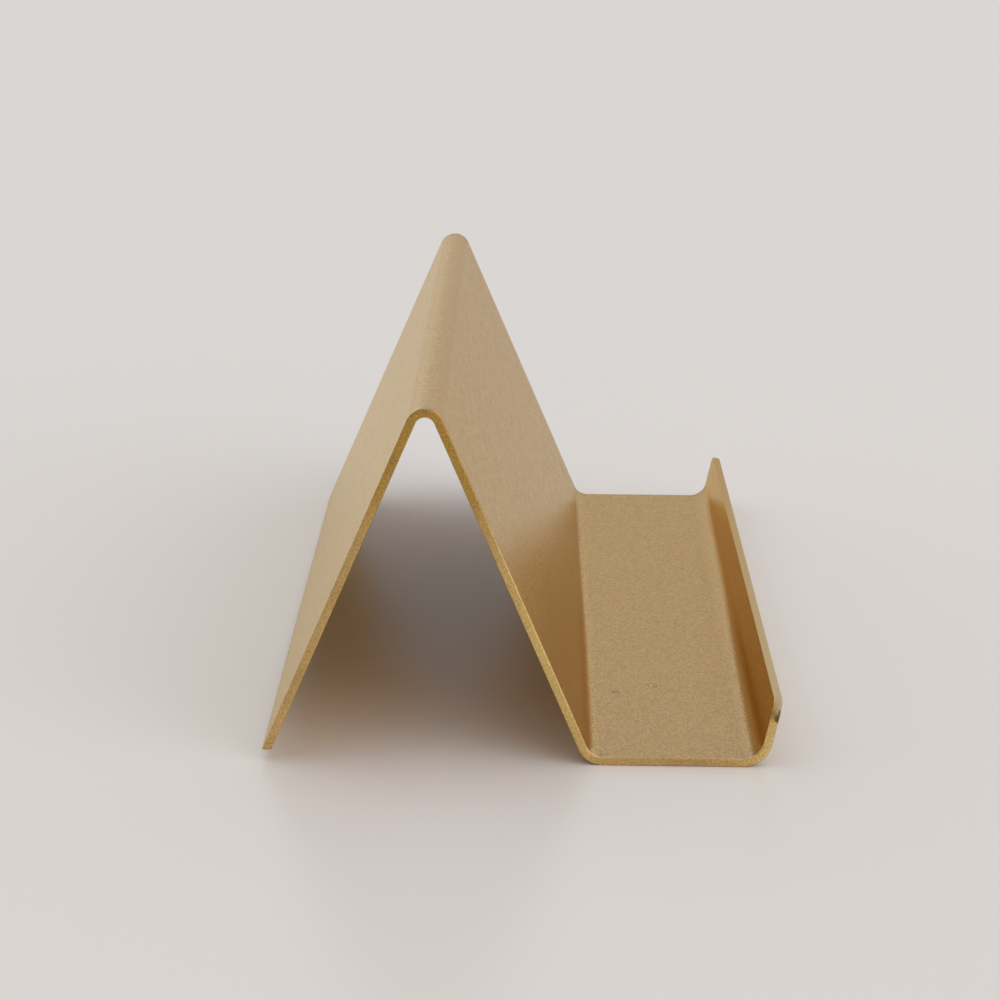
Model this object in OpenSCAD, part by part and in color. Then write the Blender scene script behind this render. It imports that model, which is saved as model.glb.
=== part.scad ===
// Place card holder folded from one sheet of brass.
// Seen from its open end the sheet is an A with a shallow tray beside it.
// It runs up the free leg, over the apex, down the card leg, along the tray
// and up a short lip. Cards stand in the tray and lean on the card leg.
// The bends run along Y. The origin is on the table, under the middle of the part.

/* [Sheet] */
// Length of the sheet along its bends
sheet_l = 100; // [60:1:160]
// Thickness of the sheet
sheet_t = 0.9; // [0.6:0.1:1.6]
// Inside radius of the three bends
bend_r = 1.2; // [0.6:0.1:2]
// Radius of the four sheet corners
corner_r = 1.2; // [0.4:0.1:2.4]

/* [A-frame] */
// Height of the apex above the table
apex_h = 36; // [26:0.5:60]
// Lean of the free leg from upright, in degrees
free_leg_lean = 23; // [15:0.5:35]
// Lean of the card leg from upright, in degrees
card_leg_lean = 23.4; // [15:0.1:35]

/* [Tray] */
// Width of the tray floor between the card leg and the lip
tray_w = 16.5; // [10:0.1:30]
// Height of the lip above the table
lip_h = 7; // [5.6:0.2:14]
// Lean of the lip away from the tray, in degrees
lip_lean = 12; // [0:1:25]

/* [Hidden] */
$fn = 96;

// Outside radius of the bends
outer_r = bend_r + sheet_t;
// How far each cutter runs past what it cuts
overrun = sheet_t;
// Depth of the cutters through the sheet, over both of its faces
trim_depth = 4 * sheet_t;
// Flat steps that each bend is drawn with
bend_steps = 16;

// The profile is drawn with x along the table and y up. Its x starts at the
// corner where the faces of the tray and of the card leg would meet.

// Unit vector at an angle from the x axis
function towards(angle) = [cos(angle), sin(angle)];
// Lift of a bend's centre away from the corner of the two faces that it joins
function bend_inset(lean) = bend_r * (1 - sin(lean)) / cos(lean);

// Outward angles of the faces that the bends join
card_face = card_leg_lean;
free_face = 180 - free_leg_lean;
lip_face = -lip_lean;
table_face = 270;

// Centres of the three bends
tray_bend = [bend_inset(card_leg_lean), sheet_t + bend_r];
lip_bend = [tray_w - bend_inset(lip_lean), sheet_t + bend_r];
apex_z = apex_h - outer_r;
apex_rise = apex_z - sheet_t;
apex_x = -(outer_r + apex_rise * sin(card_leg_lean)) / cos(card_leg_lean);
apex_bend = [apex_x, apex_z];

// Outer edge of the foot, where the free leg meets the table
foot_x = apex_x - (outer_r + apex_z * sin(free_leg_lean)) / cos(free_leg_lean);
// Inner edge of the foot, which is cut level with the table
foot_in_x = foot_x + sheet_t / cos(free_leg_lean);
// Inner edge of the lip's top, which is trimmed square to the sheet
lip_top = [tray_w + (lip_h - sheet_t) * tan(lip_lean), lip_h];
// Both edges of the lip as far as it runs before it is trimmed
lip_end = lip_top + overrun * towards(90 - lip_lean);
lip_end_out = lip_end + sheet_t * towards(lip_face);
// Middle of the profile, which goes over the origin
middle_x = (foot_x + lip_top[0] + sheet_t * cos(lip_lean)) / 2;

// Points along a bend, from one outward angle to another
function bend(centre, radius, from_angle, to_angle) = [
    for (step = [0:bend_steps])
        centre + radius * towards(from_angle + (to_angle - from_angle) * step / bend_steps)
];

// The upper side of the sheet, from the foot over the apex to the lip's end
upper_side = concat(
    [[foot_x, 0]],
    bend(apex_bend, outer_r, free_face, card_face),
    bend(tray_bend, bend_r, 180 + card_face, table_face),
    bend(lip_bend, bend_r, table_face, 360 + lip_face),
    [lip_end]
);
// The lower side of the sheet, back from the lip's end to the foot
lower_side = concat(
    [lip_end_out],
    bend(lip_bend, outer_r, 360 + lip_face, table_face),
    bend(tray_bend, outer_r, table_face, 180 + card_face),
    bend(apex_bend, bend_r, card_face, free_face),
    [[foot_in_x, 0]]
);

// Puts a cutter at one end of the sheet. There x points out of the sheet's end,
// y along that end and z through the sheet.
module at_end(point, turn) {
    translate([point[0], 0, point[1]]) rotate([0, turn, 0]) children();
}

// What rounds off the two corners at one end of the sheet
module round_corners() {
    for (side = [0, 1])
        mirror([0, side, 0])
            translate([0, sheet_l / 2, 0])
                linear_extrude(height = trim_depth, center = true)
                    difference() {
                        translate([-corner_r, -corner_r]) square(corner_r + overrun);
                        translate([-corner_r, -corner_r]) circle(r = corner_r);
                    }
}

// What trims one end of the sheet square, from corner to corner
module trim_square() {
    linear_extrude(height = trim_depth, center = true)
        translate([0, -sheet_l / 2 - overrun]) square([2 * overrun, sheet_l + 2 * overrun]);
}

module folded_sheet() {
    color([0.70, 0.58, 0.41])
        translate([-middle_x, 0, 0])
            difference() {
                rotate([90, 0, 0]) linear_extrude(height = sheet_l, center = true)
                    polygon(concat(upper_side, lower_side));
                at_end([foot_x, 0], 90 + free_leg_lean) round_corners();
                at_end(lip_top, lip_lean - 90) {
                    round_corners();
                    trim_square();
                }
            }
}

folded_sheet();
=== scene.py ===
# Place card holder: one brass sheet folded into an A, with a tray and a lip beside it.
import math

import bpy
from mathutils import Matrix, Vector


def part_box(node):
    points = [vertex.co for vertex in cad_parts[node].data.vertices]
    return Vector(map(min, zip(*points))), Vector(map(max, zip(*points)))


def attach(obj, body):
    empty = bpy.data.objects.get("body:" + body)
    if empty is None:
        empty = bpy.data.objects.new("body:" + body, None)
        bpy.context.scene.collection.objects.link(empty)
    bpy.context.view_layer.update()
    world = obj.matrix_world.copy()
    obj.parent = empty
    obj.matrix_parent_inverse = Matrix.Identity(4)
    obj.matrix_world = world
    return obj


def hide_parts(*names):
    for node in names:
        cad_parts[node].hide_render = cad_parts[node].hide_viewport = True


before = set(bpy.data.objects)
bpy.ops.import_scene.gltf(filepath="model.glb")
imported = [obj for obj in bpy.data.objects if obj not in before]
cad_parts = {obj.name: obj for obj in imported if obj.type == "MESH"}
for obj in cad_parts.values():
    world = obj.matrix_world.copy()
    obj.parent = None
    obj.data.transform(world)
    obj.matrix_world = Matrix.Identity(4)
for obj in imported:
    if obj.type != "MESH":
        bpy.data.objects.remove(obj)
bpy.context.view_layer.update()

# Folded sheet: 0.9 mm brass, cut to a square blank and bent three times on a brake.
# The bends run along Y. It is folded here as in the workshop, from the tray outwards:
# the card leg, the apex and the free leg on one side, and the lip on the other.
low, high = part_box("folded_sheet")
sheet_l = high.y - low.y
sheet_t = 0.0009
lip_h = 0.007
tray_w = 0.0166
# A hand brake leaves each bend a little different. These are the inside radii and the leans.
tray_bend_r = 0.00175
apex_bend_r = 0.001
lip_bend_r = 0.0021
card_leg_lean = math.radians(23.5)
free_leg_lean = math.radians(23.05)
lip_lean = math.radians(12)


def bend_inset(bend_r, lean):
    """How far a bend's centre lies from the corner of the two faces that it joins."""
    return bend_r * (1 - math.sin(lean)) / math.cos(lean)


# The flat of the tray lies between the centres of its two bends.
lip_corner_x = high.x - sheet_t * math.cos(lip_lean) - (lip_h - sheet_t) * math.tan(lip_lean)
lip_bend_x = lip_corner_x - bend_inset(lip_bend_r, lip_lean)
lip_bend_z = sheet_t + lip_bend_r
tray_bend_x = lip_corner_x - tray_w + bend_inset(tray_bend_r, card_leg_lean)
tray_bend_z = sheet_t + tray_bend_r

bpy.ops.object.select_all(action="DESELECT")
bpy.ops.mesh.primitive_grid_add(
    x_subdivisions=6,
    y_subdivisions=40,
    size=1,
    location=((tray_bend_x + lip_bend_x) / 2, 0, sheet_t / 2),
)
sheet = bpy.context.object
sheet.name = "folded_sheet_brass"
sheet.scale = (lip_bend_x - tray_bend_x, sheet_l, 1)
bpy.ops.object.transform_apply(location=True, rotation=True, scale=True)


def select(kind, wanted):
    """In edit mode, selects the vertices, edges or faces of the sheet that are wanted."""
    bpy.ops.mesh.select_mode(type=kind)
    bpy.ops.mesh.select_all(action="DESELECT")
    bpy.ops.object.mode_set(mode="OBJECT")
    items = {"VERT": sheet.data.vertices, "EDGE": sheet.data.edges, "FACE": sheet.data.polygons}
    for item in items[kind]:
        item.select = wanted(item)
    bpy.ops.object.mode_set(mode="EDIT")


def fold(turn, x, z):
    """Bends the selected edge round a line along Y. A turn over zero goes from X up to Z."""
    bpy.ops.mesh.spin(steps=24, angle=turn, center=(x, 0, z), axis=(0, 1, 0))


def run_on(direction, length, pieces):
    """Runs the sheet on flat from its selected edge, at an angle from the X axis."""
    step = length / pieces
    move = (step * math.cos(direction), 0, step * math.sin(direction))
    for _ in range(pieces):
        bpy.ops.mesh.extrude_region_move(TRANSFORM_OT_translate={"value": move})


bpy.ops.object.mode_set(mode="EDIT")
# Points closer than this are one point.
touching = 1e-6

# From the left edge of the tray, up the card leg, over the apex and down the free leg
apex_z = high.z - apex_bend_r - sheet_t
# The middle of the sheet goes round both bends, one on either side of the leg.
both_r = tray_bend_r + apex_bend_r + sheet_t
card_leg_rise = apex_z - tray_bend_z + both_r * math.sin(card_leg_lean)
card_leg_l = card_leg_rise / math.cos(card_leg_lean)
apex_x = tray_bend_x - card_leg_l * math.sin(card_leg_lean) - both_r * math.cos(card_leg_lean)
apex_mid_r = apex_bend_r + sheet_t / 2
free_leg_l = (apex_z + apex_mid_r * math.sin(free_leg_lean)) / math.cos(free_leg_lean)
select("VERT", lambda v: v.co.x < tray_bend_x + touching)
fold(card_leg_lean - math.radians(90), tray_bend_x, tray_bend_z)
run_on(math.radians(90) + card_leg_lean, card_leg_l, 8)
fold(math.radians(180) - card_leg_lean - free_leg_lean, apex_x, apex_z)
run_on(math.radians(270) - free_leg_lean, free_leg_l + sheet_t, 8)

# From the right edge of the tray, up the lip
lip_mid_r = lip_bend_r + sheet_t / 2
lip_l = (lip_h - lip_bend_z + lip_mid_r * math.sin(lip_lean)) / math.cos(lip_lean)
select("VERT", lambda v: v.co.z < sheet_t and v.co.x > lip_bend_x - touching)
fold(math.radians(90) - lip_lean, lip_bend_x, lip_bend_z)
run_on(math.radians(90) - lip_lean, lip_l + sheet_t, 2)
bpy.ops.mesh.select_all(action="SELECT")
bpy.ops.mesh.remove_doubles(threshold=touching)
bpy.ops.mesh.normals_make_consistent(inside=False)
bpy.ops.object.mode_set(mode="OBJECT")

solidify = sheet.modifiers.new("thickness", "SOLIDIFY")
solidify.thickness = sheet_t
solidify.offset = 0
solidify.use_even_offset = True
bpy.ops.object.modifier_apply(modifier="thickness")

# The free leg and the lip were run on too far, and are trimmed. The foot is level with the
# table at the back and rises a little towards the front. The lip is a little lower at the back.
foot_rise = 0.0011
lip_drop = 0.0006
foot_point = Vector((low.x, high.y, 0))
foot_normal = Vector((0, -foot_rise / sheet_l, -1)).normalized()
lip_point = Vector((high.x - sheet_t * math.cos(lip_lean), low.y, lip_h))
lip_normal = Vector((math.sin(lip_lean), lip_drop / sheet_l, math.cos(lip_lean))).normalized()
# The free leg's end lies left of and below these places, and the lip right of and above them.
foot_side_x = -0.015
foot_side_z = 0.006
lip_side_x = 0.02
lip_side_z = 0.003


def trim(point, normal, is_near):
    """Cuts off what lies past a plane, from the faces near that end of the sheet."""
    select("FACE", is_near)
    bpy.ops.mesh.bisect(plane_co=point, plane_no=normal, use_fill=True, clear_outer=True)


bpy.ops.object.mode_set(mode="EDIT")
trim(foot_point, foot_normal, lambda f: f.center.x < foot_side_x and f.center.z < foot_side_z)
trim(lip_point, lip_normal, lambda f: f.center.x > lip_side_x and f.center.z > lip_side_z)


def select_corner(point, normal, y):
    """Selects the short edge through the sheet where a trimmed end meets a side."""
    tolerance = 1e-5

    def at_corner(v):
        on_the_trim = abs((v.co - point).dot(normal)) < tolerance
        on_the_side = abs(v.co.y - y) < tolerance
        return on_the_trim and on_the_side and abs(v.co.x - point.x) < 3 * sheet_t
    select("EDGE", lambda e: all(at_corner(sheet.data.vertices[i]) for i in e.vertices))


# The four corners of the blank are rounded by hand, each with its own radius.
for point, normal, y, corner_r in (
    (foot_point, foot_normal, low.y, 0.0004),
    (foot_point, foot_normal, high.y, 0.0012),
    (lip_point, lip_normal, low.y, 0.0016),
    (lip_point, lip_normal, high.y, 0.0012),
):
    select_corner(point, normal, y)
    bpy.ops.mesh.bevel(offset=corner_r, segments=8, profile=0.5, affect="EDGES")
bpy.ops.object.mode_set(mode="OBJECT")

# The apex is a little lower at the back than at the front.
apex_drop_front = 0.00001
apex_drop_back = 0.00029
bpy.ops.object.add(type="LATTICE", location=(low + high) / 2)
press = bpy.context.object
press.scale = high - low
press.data.interpolation_type_u = "KEY_LINEAR"
press.data.interpolation_type_v = "KEY_LINEAR"
press.data.interpolation_type_w = "KEY_LINEAR"
for knot in press.data.points:
    if knot.co.z > 0:
        drop = apex_drop_back if knot.co.y > 0 else apex_drop_front
        knot.co_deform.z -= drop / press.scale.z
pressed = sheet.modifiers.new("pressed", "LATTICE")
pressed.object = press
bpy.context.view_layer.objects.active = sheet
bpy.ops.object.modifier_apply(modifier="pressed")
bpy.data.objects.remove(press)

# The cut edges are marked, and so are the inside of the A and the inside of the lip, which carry
# painted light and shade: a brighter copper in the A, and a browner painted shade low in the A
# and in the lip.
cut_edge = sheet.data.attributes.new("cut_edge", "FLOAT", "FACE")
inside_light_and_shade = sheet.data.attributes.new("inside_light_and_shade", "FLOAT", "FACE")
# How level a face at the foot or on top of the lip is, and how upright the lip's own face is
level = 0.9
upright = 0.75
for face in sheet.data.polygons:
    normal, centre = face.normal, face.center
    on_a_side = abs(normal.y) > 0.05
    on_the_foot = normal.z < -level and centre.x < foot_side_x
    on_the_lip = normal.z > level and centre.z > lip_side_z and centre.x > lip_side_x
    on_an_edge = on_a_side or on_the_foot or on_the_lip
    cut_edge.data[face.index].value = on_an_edge
    share = 0
    if centre.x < tray_bend_x and normal.z < -0.1:
        share = 1 if centre.z > tray_bend_z else -normal.x / math.cos(card_leg_lean)
    if centre.x > lip_bend_x and normal.x < 0:
        share = max(0, (-normal.x / math.cos(lip_lean) - upright) / (1 - upright))
    inside_light_and_shade.data[face.index].value = 0 if on_an_edge else share

# Every edge is deburred.
deburr = sheet.modifiers.new("deburr", "BEVEL")
deburr.width = 0.00016
deburr.segments = 3
deburr.limit_method = "ANGLE"
deburr.angle_limit = math.radians(40)
bpy.ops.object.modifier_apply(modifier="deburr")

# Two small nicks in the tray, each a short slanting gouge, with its place and depth. The face
# that holds a nick, and any next to it that it reaches, are cut finely first.
nick_r = 0.00045
nick_run = Vector((0.00018, -0.00016, 0))
nick_core = 0.0001
reach_x = 0.00125
reach_y = 0.00127


def holds_the_nick(face, nick):
    """Whether a face of the tray's floor lies round a nick."""
    on_the_floor = face.normal.z > 0.99 and abs(face.center.z - sheet_t) < 1e-4
    away = face.center - nick
    return on_the_floor and abs(away.x) < reach_x and abs(away.y) < reach_y


def in_the_nick(vertex, nick):
    """Whether a vertex lies on the line from one end of a nick to the other."""
    away = vertex.co - nick
    share = max(-1, min(1, away.dot(nick_run) / nick_run.length_squared))
    return (away - share * nick_run).length < nick_core


for nick, nick_depth in (
    (Vector((0.01015, -0.0305, sheet_t)), 0.0002),
    (Vector((0.0141, -0.0282, sheet_t)), 0.0003),
):
    bpy.ops.object.mode_set(mode="EDIT")
    select("FACE", lambda f: holds_the_nick(f, nick))
    bpy.ops.mesh.subdivide(number_cuts=15)
    select("VERT", lambda v: in_the_nick(v, nick))
    bpy.ops.transform.translate(
        value=(0, 0, -nick_depth),
        use_proportional_edit=True,
        proportional_edit_falloff="SMOOTH",
        proportional_size=nick_r,
    )
    bpy.ops.object.mode_set(mode="OBJECT")

# Shading that follows the flats and the bends
even = sheet.modifiers.new("even_shading", "WEIGHTED_NORMAL")
even.keep_sharp = False
bpy.ops.object.shade_smooth_by_angle(angle=math.radians(50))
bpy.ops.object.modifier_apply(modifier="even_shading")

# Brass, blasted with fine beads and left bare. Its colour drifts a little between khaki, tan
# and rose, and the cut edges stay golden.
brass = bpy.data.materials.new("satin_brass")
brass.use_nodes = True
tree = brass.node_tree
shader = tree.nodes["Principled BSDF"]
shader.inputs["Metallic"].default_value = 1
# At a low angle the brass stays yellow, where a clean metal turns white.
shader.inputs["Specular Tint"].default_value = (0.83, 0.71, 0.49, 1)
place = tree.nodes.new("ShaderNodeTexCoord").outputs["Object"]


def noise(vector, scale, detail):
    """A noise pattern from 0 to 1, with a number of waves to the metre."""
    pattern = tree.nodes.new("ShaderNodeTexNoise")
    pattern.inputs["Scale"].default_value = scale
    pattern.inputs["Detail"].default_value = detail
    tree.links.new(vector, pattern.inputs["Vector"])
    return pattern.outputs["Fac"]


def ramp(value, *stops):
    """Colours for a value, as stops of a place from 0 to 1 and a colour."""
    colours = tree.nodes.new("ShaderNodeValToRGB")
    while len(colours.color_ramp.elements) < len(stops):
        colours.color_ramp.elements.new(0.5)
    for element, (at, colour) in zip(colours.color_ramp.elements, stops):
        element.position = at
        element.color = (*colour, 1)
    tree.links.new(value, colours.inputs["Fac"])
    return colours.outputs["Color"]


def shades(value, dark, light):
    """Greys for a noise pattern: dark in its hollows and light on its crests."""
    return ramp(value, (0.3, (dark, dark, dark)), (0.7, (light, light, light)))


def mix(kind, share, first, second):
    """Two colours mixed by a share, which is a number or the output of a node."""
    blend = tree.nodes.new("ShaderNodeMix")
    blend.data_type = "RGBA"
    blend.blend_type = kind
    for name, source in (("Factor", share), ("A", first), ("B", second)):
        if isinstance(source, bpy.types.NodeSocket):
            tree.links.new(source, blend.inputs[name])
        else:
            blend.inputs[name].default_value = source
    return blend.outputs["Result"]


def spread(value, low_in, high_in, low_out, high_out):
    """A value from one range mapped to another."""
    mapped = tree.nodes.new("ShaderNodeMapRange")
    mapped.inputs["From Min"].default_value = low_in
    mapped.inputs["From Max"].default_value = high_in
    mapped.inputs["To Min"].default_value = low_out
    mapped.inputs["To Max"].default_value = high_out
    tree.links.new(value, mapped.inputs["Value"])
    return mapped.outputs["Result"]


def attribute(name):
    """A value that the mesh carries on its faces."""
    reader = tree.nodes.new("ShaderNodeAttribute")
    reader.attribute_name = name
    return reader.outputs["Fac"]


def blot(centre, radii):
    """A soft spot: 1 in its middle and 0 outside."""
    shift = tree.nodes.new("ShaderNodeVectorMath")
    shift.operation = "SUBTRACT"
    shift.inputs[1].default_value = centre
    tree.links.new(place, shift.inputs[0])
    stretch = tree.nodes.new("ShaderNodeVectorMath")
    stretch.operation = "DIVIDE"
    stretch.inputs[1].default_value = radii
    tree.links.new(shift.outputs["Vector"], stretch.inputs[0])
    reach = tree.nodes.new("ShaderNodeVectorMath")
    reach.operation = "LENGTH"
    tree.links.new(stretch.outputs["Vector"], reach.inputs[0])
    return spread(reach.outputs["Value"], 0.5, 1, 1, 0)


split = tree.nodes.new("ShaderNodeSeparateXYZ")
tree.links.new(place, split.inputs["Vector"])
across, along, up = split.outputs

# Rolling the sheet drew its patterns out along Y, to twice their width.
rolling = tree.nodes.new("ShaderNodeVectorMath")
rolling.operation = "MULTIPLY"
rolling.inputs[1].default_value = (1, 0.5, 1)
tree.links.new(place, rolling.inputs[0])
rolled = rolling.outputs["Vector"]

# The faces: khaki, tan and rose in patches of a millimetre or two
khaki = (0.67, 0.50, 0.29)
tan = (0.685, 0.49, 0.30)
rose = (0.695, 0.485, 0.315)
faces = ramp(noise(rolled, 800, 3), (0.36, khaki), (0.5, tan), (0.64, rose))
# Painted light: they turn pale over the top of the apex, and stay so down the free leg, the
# side turned towards the light.
lit_pale = (0.94, 0.76, 0.48, 1)
lit_pale_from_x = -0.0080
lit_pale_to_x = -0.0100
faces = mix("MIX", spread(across, lit_pale_from_x, lit_pale_to_x, 0, 1), faces, lit_pale)
# Painted light and shade on the inside faces: a bright copper gold in the A, which brightens and
# warms the light thrown round under it, and a browner painted shade low on the card leg and in
# the lip
lit_copper = (0.94, 0.55, 0.13, 1)
shade_brown = (0.74, 0.44, 0.10, 1)
shade_brown_from_x = 0
shade_brown_to_x = 0.001
inside_light_and_shade_colour = mix("MIX", spread(across, shade_brown_from_x, shade_brown_to_x, 0, 1), lit_copper, shade_brown)
faces = mix("MIX", attribute("inside_light_and_shade"), faces, inside_light_and_shade_colour)
# The ridge of the apex is a little cooler.
ridge_h = 0.0010
ridge_tint = (0.93, 0.92, 1.12, 1)
on_the_ridge = spread(up, apex_z, apex_z + ridge_h, 0, 1)
faces = mix("MULTIPLY", on_the_ridge, faces, ridge_tint)
# The beads leave a grain of dimples, a fifth of a millimetre across.
grain = noise(rolled, 5000, 2)
speckle = shades(grain, 0.76, 1.1)
faces = mix("MULTIPLY", 1, faces, speckle)
# The grain is doubled on the two legs, but not on the ridge between them.
legs_from_x = tray_bend_x
legs_to_x = tray_bend_x - 0.0015
on_the_legs = spread(across, legs_from_x, legs_to_x, 0, 1)
leg_speckle = mix("MIX", on_the_ridge, speckle, (1, 1, 1, 1))
faces = mix("MULTIPLY", on_the_legs, faces, leg_speckle)

# The cut edges: gold, and brighter low on the card leg and at the lip's bend. Each stop is a
# share of the way from the foot to the lip.
gold = (0.76, 0.51, 0.21)
bright_gold = (0.92, 0.66, 0.25)
foot_to_lip = spread(across, low.x, high.x, 0, 1)
edges = ramp(
    foot_to_lip,
    (0.44, gold),
    (0.54, bright_gold),
    (0.6, bright_gold),
    (0.66, gold),
    (0.9, gold),
    (0.97, bright_gold),
)
# Painted shade: they darken towards the apex, which faces the dimmer room in front.
shaded_gold = (0.63, 0.38, 0.10, 1)
shade_from_z = 0.022
shade_to_z = 0.028
edges = mix("MIX", spread(up, shade_from_z, shade_to_z, 0, 1), edges, shaded_gold)
# File marks: soft patches, and specks of a fifth of a millimetre
edges = mix("MULTIPLY", 1, edges, shades(noise(place, 250, 3), 0.8, 1))
edges = mix("MULTIPLY", 1, edges, shades(noise(place, 4500, 2), 0.7, 1.15))
# The top of the lip is duller than the edge at its front, and pales towards the front.
lip_tan = (0.67, 0.46, 0.25, 1)
lip_khaki = (0.75, 0.60, 0.39, 1)
lip_top_from_x = 0.0236
lip_top_to_x = 0.0242
lip_top_from_z = 0.0050
lip_top_to_z = 0.0060
lip_top = mix("MIX", spread(along, high.y, low.y, 0, 1), lip_tan, lip_khaki)
lip_top = mix("MIX", spread(across, lip_top_from_x, lip_top_to_x, 0, 1), edges, lip_top)
edges = mix("MIX", spread(up, lip_top_from_z, lip_top_to_z, 0, 1), edges, lip_top)
# Painted shade on the lip's front corner, which holds back the bright highlight that the lights
# give its rounding.
corner_shade = blot(centre=(0.0253, low.y + 0.0002, 0.0059), radii=(0.0013, 0.0018, 0.0013))
edges = mix("MULTIPLY", corner_shade, edges, (0.58, 0.52, 0.42, 1))
colour = mix("MIX", attribute("cut_edge"), faces, edges)
# Tarnish on the lip's front corner: a spot, and a streak that runs up from it
tarnish = (0.20, 0.12, 0.045, 1)
spot = blot(centre=(0.0254, low.y, 0.0051), radii=(0.00036, 0.0006, 0.00055))
streak = blot(centre=(0.0256, low.y, 0.0056), radii=(0.00016, 0.0005, 0.0006))
colour = mix("MIX", spot, colour, tarnish)
colour = mix("MIX", streak, colour, tarnish)
tree.links.new(colour, shader.inputs["Base Color"])
# The faces have a satin sheen, and the filed edges are duller.
smooth = 0.20
satin = 0.26
filed = (0.5, 0.5, 0.5, 1)
sheen = spread(noise(rolled, 900, 2), 0.3, 0.7, smooth, satin)
tree.links.new(mix("MIX", attribute("cut_edge"), sheen, filed), shader.inputs["Roughness"])
dimples = tree.nodes.new("ShaderNodeBump")
dimples.inputs["Distance"].default_value = 0.00003
tree.links.new(grain, dimples.inputs["Height"])
tree.links.new(dimples.outputs["Normal"], shader.inputs["Normal"])
sheet.data.materials.append(brass)

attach(sheet, "root")
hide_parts("folded_sheet")

# Floor: a plain pale table top, smooth and with a satin gloss. The holder stands on it loose,
# on its foot and the underside of its tray.
bpy.ops.object.select_all(action="DESELECT")
bpy.ops.mesh.primitive_plane_add(size=6, location=(0, 0, 0))
floor = bpy.context.object
floor.name = "floor"
table_top = bpy.data.materials.new("pale_floor")
table_top.use_nodes = True
gloss = table_top.node_tree.nodes["Principled BSDF"]
gloss.inputs["Base Color"].default_value = (0.87, 0.82, 0.785, 1)
gloss.inputs["Roughness"].default_value = 0.3
gloss.inputs["Specular IOR Level"].default_value = 0.35
floor.data.materials.append(table_top)

# Light: a studio of large soft windows. Each has a bearing, counted from the camera's side
# towards the card tray, and a height above the table, both in degrees, and then its strength.
windows = (
    (45, 8, 1.39),
    (135, 8, 0.77),
    (180, 8, 0.44),
    (225, 8, 0.60),
    (270, 8, 0.50),
    (60, 42, 1.13),
    (240, 42, 0.46),
    (300, 42, 0.38),
    (0, 90, 0.62),
)
world = bpy.data.worlds.new("studio")
bpy.context.scene.world = world
world.use_nodes = True
sky = world.node_tree
out_there = sky.nodes.new("ShaderNodeTexCoord").outputs["Generated"]


def sky_math(kind, first, second):
    """One step of arithmetic in the world's nodes, on outputs or numbers."""
    step = sky.nodes.new("ShaderNodeMath")
    step.operation = kind
    for socket, source in zip(step.inputs, (first, second)):
        if isinstance(source, bpy.types.NodeSocket):
            sky.links.new(source, socket)
        else:
            socket.default_value = source
    return step.outputs["Value"]


# How fast a window fades away from its middle
falloff = 6
glow = 0
for bearing, height, strength in windows:
    around = math.radians(bearing)
    above = math.radians(height)
    towards = sky.nodes.new("ShaderNodeVectorMath")
    towards.operation = "DOT_PRODUCT"
    towards.inputs[1].default_value = (
        math.sin(around) * math.cos(above),
        -math.cos(around) * math.cos(above),
        math.sin(above),
    )
    sky.links.new(out_there, towards.inputs[0])
    off_centre = sky_math("MULTIPLY", sky_math("SUBTRACT", towards.outputs["Value"], 1), falloff)
    faded = sky_math("EXPONENT", off_centre, 0)
    glow = sky_math("ADD", sky_math("MULTIPLY", faded, strength), glow)
sky.nodes["Background"].inputs["Color"].default_value = (1, 1, 1, 1)
sky.links.new(glow, sky.nodes["Background"].inputs["Strength"])

# Camera: the photograph's viewing angle, a little above the table and nearly square to the
# bends. The three turns are in radians.
yaw, pitch, roll = 0.01117, -0.26532, -0.00927
bpy.ops.object.camera_add(location=(0.00085, -0.31016, 0.09774))
camera = bpy.context.object
camera.data.sensor_width = 36
camera.data.lens = 100.8
camera.matrix_world = (
    Matrix.Translation(camera.location)
    @ Matrix.Rotation(yaw, 4, "Z")
    @ Matrix.Rotation(math.radians(90) + pitch, 4, "X")
    @ Matrix.Rotation(-roll, 4, "Z")
)
bpy.context.scene.camera = camera
bpy.context.scene.view_settings.view_transform = "Standard"
